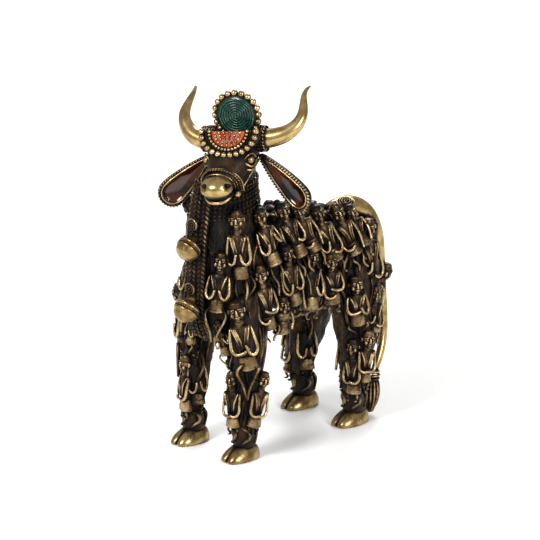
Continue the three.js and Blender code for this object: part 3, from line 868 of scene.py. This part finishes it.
coils = Threads("coils", fine=0, spans=3)
for place in ((0, -83.5, 191), (0, -86.5, 139)):
    coils.lay(spiral(14, 0.4, 0.4, pi / 2.5), 0.85, place=placed(place, x=90))
for centre, radius, dip in BELLS:
    tilt = placed(centre, x=-dip)
    scale = radius / BELL_RADIUS
    dome = turned("bell", [(out * scale, high * scale) for out, high in BELL], 28)
    dome.data.transform(tilt)
    cast(dome, 1.0, worn)
    band = row(circle(9.5 * scale, 2.1 * scale, 12), 34, lambda p: Vector((p.x, p.y, 0)), (0.9, 0.8, 0.9),
               closed=True)
    studs = strewn("bell studs", band, 0.7)
    studs.data.transform(tilt)
    casting.append(studs)
cast(coils.made(), 0.75)

# The tail
# A heavy polished root runs out over the rump and falls behind the left hind leg, through rings, to a
# ribbed tassel. A coil of thread lies where it leaves the back.
TAIL = [  # place and radius
    ((0, 60, 168), 6), ((1, 74, 171), 8.2), ((2, 88, 168.5), 8.8), ((4, 100, 160), 8.0),
    ((8, 107, 142), 5.8), ((12.5, 108.5, 114), 4.2), ((17, 107.5, 84), 3.8), ((21, 103.5, 58), 4.0),
    ((24.5, 95, 43), 3.4), ((24, 89, 32), 2.8),
]
TAIL_STEPS = 22
TASSEL_X = 25
TASSEL_Y = 89
TASSEL_TOP = 33
TASSEL_SLANT = 0.11
TASSEL_RIB = [(2.8, 31, 0), (5.2, 24, 0.1), (5.2, 14, 0.2), (1.8, 3, 0.3)]  # radius, height, twist
TASSEL_CORE = [(89, 33, 3), (87.5, 25, 5.4), (86.5, 14, 5.2), (86, 4, 2)]
TASSEL_RINGS = [(4.3, 35.5), (4.6, 32.5), (4.2, 29.8)]

line = route([place for place, _ in TAIL], TAIL_STEPS)
share = np.linspace(0, len(TAIL) - 1, TAIL_STEPS)
radii = np.interp(share, range(len(TAIL)), [radius for _, radius in TAIL])
stations = [(place, radius, radius) for place, radius in zip(line, radii)]
cast(drawn("tail", stations, 14), 0.9, polished)
ribs = Threads("ribs", fine=0, spans=3)
for i in range(12):
    points = []
    for radius, high, twist in TASSEL_RIB:
        angle = 2 * pi * i / 12 + twist
        middle = TASSEL_Y - (TASSEL_TOP - high) * TASSEL_SLANT
        points.append((TASSEL_X + radius * cos(angle), middle + radius * sin(angle), high))
    ribs.lay(points, 1.4)
for radius, high in TASSEL_RINGS:
    ring = [(TASSEL_X + x, TASSEL_Y + 0.5 + y, z) for x, y, z in circle(radius, high, 6)]
    ribs.lay(ring, 1.1, closed=True)
coil_at = placed((10.5, 73, 176), x=6.8755, y=17.1887)
ribs.lay(spiral(29, 0.6, 0.265, 0.9, high=2.0, drop=0.07), 1.0, place=coil_at)
cast(pellet((10.5, 73, 172.5), (7.2, 7.2, 4.2), 10, 6), 0.3)
core = [((TASSEL_X, y, high), radius, radius) for y, high, radius in TASSEL_CORE]
cast(drawn("tassel", core, 10), 0.1)
cast(ribs.made(), 1.0)

# The bull's head
# It turns to its left. The brow and cheeks are dark and smooth, the muzzle is a polished ball with two
# nostrils, and a plaited noseband passes over it. In its own frame x is to the left, -y to the muzzle,
# and the poll is the origin.
HEAD_AT = placed((5, -43, 250), y=-6, z=28)
SKULL = [
    ((0, 13, -4), 11, 10), ((0, 8, -4), 17.5, 15), ((0, 0, -4.5), 21, 17), ((0, -10, -8.2), 20.6, 16.2),
    ((-0.6, -18, -13.4), 18, 14.2), ((-1.6, -25, -18.2), 15.2, 12), ((-3, -31, -21.4), 12.4, 10.2),
    ((-3.8, -37, -24), 10.4, 8.6),
]
NOSTRILS = [(6.6, -43.8, -22), (-12.2, -47.4, -21.2)]
MOUTH = [(-14.0, -39.5, -30.6), (-10.2, -44, -33.4), (-4, -46.2, -34.6), (2.6, -44.2, -33.8),
         (6.6, -39.5, -31.2)]
CHEEK_STRAP = [(9.1, -31, -31), (13.5, -25, -26), (17, -17, -19), (20, -8, -13), (22, -2, -9)]
NOSE = Vector((-4.4, -15, -23))
NOSEBAND = [(-16.2, -30, -29), (-17.2, -32.4, -21), (-13, -34.4, -14.8), (-4.6, -35.6, -12.2),
            (4.6, -34.6, -14.4), (10.6, -32.6, -20.6), (11.4, -30.4, -29)]
EYE = 3.5
on_head = []


def modelled(piece, rub, finish=patina):
    """Lays a form on the head, about the head's own origin"""
    on_head.append(rubbed(piece, rub, finish))


def dented(ball, dents):
    """Presses round dents (place, radius, depth) into a ball, towards its middle"""
    middle = sum((vertex.co for vertex in ball.data.vertices), Vector()) / len(ball.data.vertices)
    for place, radius, depth in dents:
        for vertex in ball.data.vertices:
            share = max(0.0, 1 - ((vertex.co - mm(*place)).length / (radius * MM)) ** 2)
            vertex.co += (middle - vertex.co).normalized() * depth * MM * min(1.0, share * 2)
    return ball


modelled(drawn("skull", SKULL, 20), 0.35, umber)
muzzle = pellet((-4.4, -39, -24), (12.9, 12, 9.0), 44, 30)
modelled(dented(muzzle, [(place, 3.4, 2.8) for place in NOSTRILS]), 1.0, polished)
jaw = pellet((-4, -36.5, -31), (11.2, 10, 4.8), 18, 10)
modelled(jaw, 0.2)
for x, y, z in NOSTRILS:
    modelled(pellet((x * 0.96 - 0.2, y + 2.4, z), (2.5, 1.4, 1.8), 10, 6), 0)
features = Threads("features", fine=1, spans=4)
features.lay(MOUTH, 1.5, tip=0.8)
features.lay(CHEEK_STRAP, 0.9, tip=0.9)
strap_knot = pellet((9.6, -32, -31), (2.7, 2.4, 2.7), 12, 8)
modelled(strap_knot, 0.95)

for side in (1, -1):
    eye = Vector((17.4 * side, -16.8, -8.4))
    outward = Vector((0.80 * side, -0.58, 0.14)).normalized()
    forwards = (Z.cross(outward) * -side).normalized()
    upwards = outward.cross(forwards) * side

    def on_eye(ahead, high, lift):
        return eye + forwards * ahead + upwards * high + outward * lift

    modelled(pellet(eye, (EYE, EYE, EYE), 16, 10), 0.8)
    for rise in (1, -1):
        features.lay([on_eye(6.8, -0.6, 0), on_eye(2.8, 4.2 * rise, 1.9), on_eye(-1.4, 4.8 * rise, 1.7),
                      on_eye(-5.8, 0.6 * rise, 0)], 0.85)
    features.lay([on_eye(7, 5.4, -0.6), on_eye(1, 7.6, 0.6), on_eye(-5.4, 5.4, -0.8)], 1.1, tip=0.6)

for offset in (-2.2, 2.2):
    wider = offset / 14
    wire = [(x + (x - NOSE.x) * wider, y + offset, z + (z - NOSE.z) * wider) for x, y, z in NOSEBAND]
    features.lay(wire, 0.65, tip=0.9)
plait = row(NOSEBAND, 26, lambda p: p - NOSE, (1.9, 0.85, 1.4), 40, (-1.25, 1.25))
on_head.append(strewn("noseband", plait, 0.9))

# The horns
# Two polished horns sweep out, forwards and up from plaited sockets to points that turn outwards.
HORNS = {
    1: [(26, 3, 2.5), (38.7, 5, 4.9), (47.8, 9, 9.8), (52.6, 14, 16.8), (52.6, 20, 24.2), (51.2, 26, 29.7),
        (51.8, 31, 33.6), (54.7, 36, 35.6)],
    -1: [(-25, 3, 1.6), (-34.5, 4.5, 4.8), (-41.6, 9, 12), (-44, 14, 19.4), (-43, 20, 24.6), (-41, 26, 30),
         (-39.3, 31.5, 34), (-39.8, 36, 37)],
}
HORN_STEPS = 12
HORN_ROOT = 8.1
HORN_POINT = 0.9
SOCKET = [((13, 2, 3), 9.6), ((19, 2.4, 2.8), 9.9), ((25.5, 3, 2.6), 9.2)]  # middle and radius
SOCKET_Y = 2.6
SOCKET_Z = 2.8
SOCKET_RINGS = [(16, 10.0), (20.2, 10.0), (24.4, 9.6)]
for side in (1, -1):
    stations = [((16 * side, 2.4, 3), 8.6, 8.6)]
    for i, point in enumerate(route(HORNS[side], HORN_STEPS)):
        radius = HORN_ROOT + (HORN_POINT - HORN_ROOT) * (i / (HORN_STEPS - 1)) ** 1.15
        stations.append((point, radius, radius))
    modelled(drawn("horn", stations, 16, sideways=Y), 1.0, polished)
    socket = [((x * side, y, z), radius, radius) for (x, y, z), radius in SOCKET]
    modelled(drawn("socket", socket, 16, sideways=Y), 0.15)
    for out, radius in SOCKET_RINGS:
        ring = [(out * side, SOCKET_Y + y, SOCKET_Z + z) for y, z, _ in circle(radius, 0, 8)]
        plait = row(ring, 22, lambda p: Vector((0, p.y - SOCKET_Y, p.z - SOCKET_Z)), (1.7, 0.8, 1.0), 36,
                    (-1.0, 1.0), closed=True)
        on_head.append(strewn("socket plait", plait, 0.8))


# The crest
# A green enamel disc with a coiled ridge stands on the poll in a rim of brass beads. In front of it
# lies a half-moon of coral enamel set with rows of brass dots, edged by small beads, a twisted ring
# and a row of large beads.
def enamel(name, deep, pale, scale, rough, coat):
    look = Look(name)
    look.shader.inputs["Specular IOR Level"].default_value = 0.2
    cloud = look.step(look.noise(scale, 4), 0.35, 0.65)
    return look.finish(Base_Color=look.mix(cloud, deep, pale), Roughness=rough, Coat_Weight=coat,
                       Coat_Roughness=rough * 0.4)


green = enamel("green enamel", (0.003, 0.023, 0.015, 1), (0.012, 0.056, 0.035, 1), 260, 0.3, 0.5)
coral = enamel("coral enamel", (0.29, 0.030, 0.008, 1), (0.44, 0.074, 0.018, 1), 300, 0.5, 0.1)
lacquer = enamel("red-brown lacquer", (0.002, 0.0012, 0.001, 1), (0.055, 0.013, 0.003, 1), 80, 0.10, 0.7)

DISC_AT = placed((4.2, 3, 22.8), x=90)
RIM_RADIUS = 17.8
COIL_RADIUS = 14.6
COIL_TURNS = 7
COIL_STEPS = 12
DISC = [(0, 0), (15.6, 0), (16.4, 0.6), (16.4, 4.6), (15.6, 5.4), (14.8, 4.6), (0, 4.6)]
DISC_ENAMEL = [(0, 4.0), (15.4, 4.2), (15.2, 4.8), (10, 4.9), (0, 5.0)]


def set_on_head(forms, place):
    """Moves finished forms from their own origin to their place on the head"""
    for form in forms:
        form.data.transform(place)
    on_head.extend(forms)


ridge = Threads("disc coil", fine=0, spans=1, tip=1)
steps = COIL_TURNS * COIL_STEPS
ridge.lay(spiral(steps + 1, 0, COIL_RADIUS / steps, 2 * pi / COIL_STEPS, high=5.1), 0.92)
rim = row(circle(RIM_RADIUS, 2.7, 12), 20, Z, (2.8, 2.8, 2.8), closed=True)
set_on_head([
    rubbed(turned("disc", DISC, 40), 0.3),
    rubbed(turned("disc enamel", DISC_ENAMEL, 32), 0, green),
    rubbed(ridge.made(), 0, green),
    strewn("disc beads", rim, 0.95, bead_mould),
], DISC_AT)


def outlined(name, outline, rings, middle=Matrix()):
    """A plate raised from its outline by rings (share across, share along, height) about a middle"""
    mesh = bpy.data.meshes.new(name)
    mesh.from_pydata([(x * MM, y * MM, 0) for x, y in outline], [], [list(range(len(outline)))])
    plate = alone(on_show(name, mesh))
    bpy.ops.object.mode_set(mode="EDIT")
    bpy.ops.mesh.select_all(action="SELECT")
    bpy.ops.object.mode_set(mode="OBJECT")
    places = []
    for across, along, high in rings:
        ring = Matrix.Translation((0, 0, high * MM)) @ Matrix.Diagonal((across, along, 1, 1))
        places.append(middle @ ring @ middle.inverted())
    return raised_rings(name, plate, places)


def arc(half, deep, count=24):
    """A half-moon outline, its straight side along the top"""
    angles = [-pi * i / count for i in range(count + 1)]
    return [(half * cos(angle), deep * sin(angle)) for angle in angles]


MOON_AT = placed((2, -9.5, 10.5), x=62)
MOON_PLATE = [(1, 1, 0), (1, 1, 7.2), (0.95, 0.95, 8.2)]
MOON_ENAMEL = [(1, 1, 7), (1, 1, 9.2), (0.9, 0.92, 9.8), (0.6, 0.7, 10.0)]
DOT_ROWS = 5
DOT_PITCH = 3.7
moon_forms = [
    rubbed(outlined("moon plate", arc(24, 18.2), MOON_PLATE), 0.2),
    rubbed(outlined("moon enamel", arc(13.6, 12.6), MOON_ENAMEL), 0, coral),
]
dots = []
for dot_row in range(DOT_ROWS):
    along = -1.4 - dot_row * 2.4
    half = 12.2 * sqrt(1 - (along / 12.8) ** 2)
    count = max(2, round(half * 2 / DOT_PITCH))
    for i in range(count):
        across = -half + 2 * half * (i + 0.5) / count
        dots.append(Matrix.Translation(mm(across, along, 10.0)) @ Matrix.Diagonal((1.35, 1.35, 1.2, 1)))
moon_forms.append(strewn("dots", dots, 1.0))
for half, deep, count, size, high in ((15.6, 14.4, 18, 1.5, 8.9), (22.4, 18.6, 14, 2.55, 8.4)):
    line = [(x, y, high) for x, y in arc(half, deep, 8)]
    moon_forms.append(strewn("moon beads", row(line, count, Z, (size, size, size)), 0.98, bead_mould))
twist = [(x, y, 8.6) for x, y in arc(18.2, 16.2, 8)]
moon_forms.append(strewn("moon rope", row(twist, 36, Z, (1.5, 0.75, 0.9), 48), 0.5))
set_on_head(moon_forms, MOON_AT)

# The ears
# Each droops from below the horn: a drop-shaped dish filled with red-brown lacquer, inside a wire and
# a rope border.
EAR_ROOT = 3
EAR_HALF = 11.2
EAR_SWING = 20.0535
DISH = [(0.86, 0.93, -2.6), (1, 1, -1.4), (1, 1, 1.6), (0.95, 0.98, 2.4), (0.82, 0.9, 2.4), (0.8, 0.88, -1.4)]
POOL = [(0.82, 0.89, -1.4), (0.82, 0.89, 2.0), (0.72, 0.8, 0.6), (0.5, 0.62, -0.5), (0.2, 0.3, -0.9)]
for side, length, droop in ((1, 55, 48), (-1, 51.5, 51)):
    widest = (-EAR_HALF, -length * 0.8, 0)
    half_ear = interpolate_bezier((0, EAR_ROOT, 0), (-3, EAR_ROOT, 0), (-12, -length * 0.55, 0), widest, 14)
    tip = interpolate_bezier(widest, (-10.6, -length - 3, 0), (10.6, -length - 3, 0),
                             (EAR_HALF, -length * 0.8, 0), 16)
    outline = [(p.x, p.y) for p in half_ear[:-1] + tip[:-1]]
    outline += [(-p.x, p.y) for p in reversed(half_ear[1:])]
    middle = -length * 0.62
    about = placed((0, middle, 0))

    def ear_line(across, along, high):
        return [(x * across, middle + (y - middle) * along, high) for x, y in outline[::3]]

    rope = row(ear_line(0.94, 0.965, 2.0), 50, Z, (2.0, 0.9, 1.6), 44, closed=True)
    wire = Threads("ear wire")
    wire.lay(ear_line(0.78, 0.875, 2.4), 0.75, closed=True)
    set_on_head([
        rubbed(outlined("ear", outline, DISH, about), 0.04),
        rubbed(outlined("ear lacquer", outline, POOL, about), 0, lacquer),
        strewn("ear rope", rope, 0.75),
        rubbed(wire.made(), 0.98),
    ], placed((22 * side, 0, -11), x=90, y=-droop * side, z=-EAR_SWING * side))

modelled(features.made(), 0.9)
whole_head = joined("head", on_head)
whole_head.data.transform(HEAD_AT)
casting.append(whole_head)

# The casting is one piece
# All that was laid on in wax was poured as one, so it is joined here, and the patina is worked out over the
# whole: dark where a point lies hidden among its neighbours, and bright where it lies open. The dark is both
# the black patina of the hollows and painted shade.
SHUT = 0.35
OPENING = 0.6
OWN_WEIGHT = 3
cast(arms.made(), 0.98)
cast(legs.made(), 0.62)
cast(scarves.made(), 0.92)
for mould in (*moulds.values(), *plain_moulds.values(), grain_mould, bead_mould):
    bpy.data.objects.remove(mould)
nandi = joined("nandi_casting", casting)


def outward_faces(piece):
    """Turns every closed form of a piece the right way out, by the sign of its volume"""
    shape = bmesh.new()
    shape.from_mesh(piece.data)
    unseen = set(shape.faces)
    while unseen:
        form = [unseen.pop()]
        for face in form:
            for edge in face.edges:
                for near in edge.link_faces:
                    if near in unseen:
                        unseen.remove(near)
                        form.append(near)
        if sum(face.calc_center_median().dot(face.normal) * face.calc_area() for face in form) < 0:
            bmesh.ops.reverse_faces(shape, faces=form)
    shape.to_mesh(piece.data)
    shape.free()


outward_faces(nandi)
mounts = frame["record"]["mounts"]
stand = sum((Vector(mount["pos_m"]) for mount in mounts), Vector()) / len(mounts)
nandi.data.transform(Matrix.Translation((stand.x, stand.y, 0)))


def fetched(items, key, width=1, kind=float):
    """One array of a value that every vertex, edge or triangle has"""
    values = np.empty(len(items) * width, dtype=kind)
    items.foreach_get(key, values)
    return values.reshape(-1, width)


def patina_and_painted_shade(piece, rays=10, reach=8 * MM):
    """Works out how open each point is to rubbing hands, and keeps it as the wear and painted shade that the
    finish reads
    """
    mesh = piece.data
    mesh.calc_loop_triangles()
    places = fetched(mesh.vertices, "co", 3)
    normals = fetched(mesh.vertices, "normal", 3)
    corners = fetched(mesh.loop_triangles, "vertices", 3, np.int32)
    tree = BVHTree.FromPolygons(places.tolist(), corners.tolist())
    number = np.arange(rays)
    lift = np.sqrt(1 - (number + 0.5) / rays)
    turn = number * pi * (3 - sqrt(5))
    helper = np.where(np.abs(normals[:, :1]) < 0.8, [[1.0, 0, 0]], [[0, 1.0, 0]])
    right = np.cross(normals, helper)
    right /= np.linalg.norm(right, axis=1, keepdims=True) + 1e-9
    other = np.cross(normals, right)
    starts = (places + normals * 0.15 * MM).tolist()
    openness = np.zeros(len(places))
    for high, angle in zip(lift, turn):
        low = sqrt(1 - high ** 2)
        ways = (right * low * cos(angle) + other * low * sin(angle) + normals * high).tolist()
        missed = [tree.ray_cast(start, way, reach)[0] is None for start, way in zip(starts, ways)]
        openness += np.array(missed) / rays
    ends = fetched(mesh.edges, "vertices", 2, np.int32)
    start, end = np.concatenate([ends, ends[:, ::-1]]).T
    shared = openness * OWN_WEIGHT
    np.add.at(shared, start, openness[end])
    openness = shared / (OWN_WEIGHT + np.bincount(start, minlength=len(places)))
    # Hidden points turn dark: black patina, with the shade that falls there painted in
    share = np.clip((openness - SHUT) / OPENING, 0, 1)
    wear_and_shade = share * share * (3 - 2 * share) * fetched(mesh.attributes["rub"].data, "value")[:, 0]
    mesh.attributes.new("wear_and_shade", "FLOAT", "POINT").data.foreach_set("value", wear_and_shade)


patina_and_painted_shade(nandi)

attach(nandi, "root")
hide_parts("nandi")

# The floor, the light and the camera
# A plain pale sweep, three broad soft lights and a long lens at the photograph's viewing angle.
bpy.ops.mesh.primitive_plane_add(size=6)
floor = bpy.context.object
floor.name = "floor"
paper = Look("paper")
floor.data.materials.append(paper.finish(Base_Color=(0.92, 0.92, 0.91, 1), Roughness=0.9))


def softbox(name, place, size, power):
    bpy.ops.object.light_add(type="AREA", location=place)
    box = bpy.context.object
    box.name = name
    box.data.shape = "DISK"
    box.data.size = size
    box.data.energy = power
    box.rotation_euler = (Vector((0, 0, 0.14)) - Vector(place)).to_track_quat("-Z", "Y").to_euler()


softbox("key light", (0.1, -1.5, 1.3), 0.7, 30)
softbox("side light", (1.7, -0.2, 0.9), 0.8, 22)
softbox("back light", (-0.9, 1.1, 1.2), 0.8, 20)
world = bpy.data.worlds.new("studio")
world.use_nodes = True
world.node_tree.nodes["Background"].inputs["Color"].default_value = (1, 1, 1, 1)
world.node_tree.nodes["Background"].inputs["Strength"].default_value = 0.42
bpy.context.scene.world = world
bpy.context.scene.view_settings.view_transform = "Standard"

AZIMUTH = radians(46)
ELEVATION = radians(18.7)
DISTANCE = 7.047
LOOK_AT_HEIGHT = 0.1348
level = cos(ELEVATION)
towards = Vector((sin(AZIMUTH) * level, -cos(AZIMUTH) * level, sin(ELEVATION)))
bpy.ops.object.camera_add(location=Vector((stand.x, stand.y, LOOK_AT_HEIGHT)) + towards * DISTANCE)
camera = bpy.context.object
camera.rotation_euler = (-towards).to_track_quat("-Z", "Y").to_euler()
camera.data.lens = 600
camera.data.clip_end = 20
bpy.context.scene.camera = camera
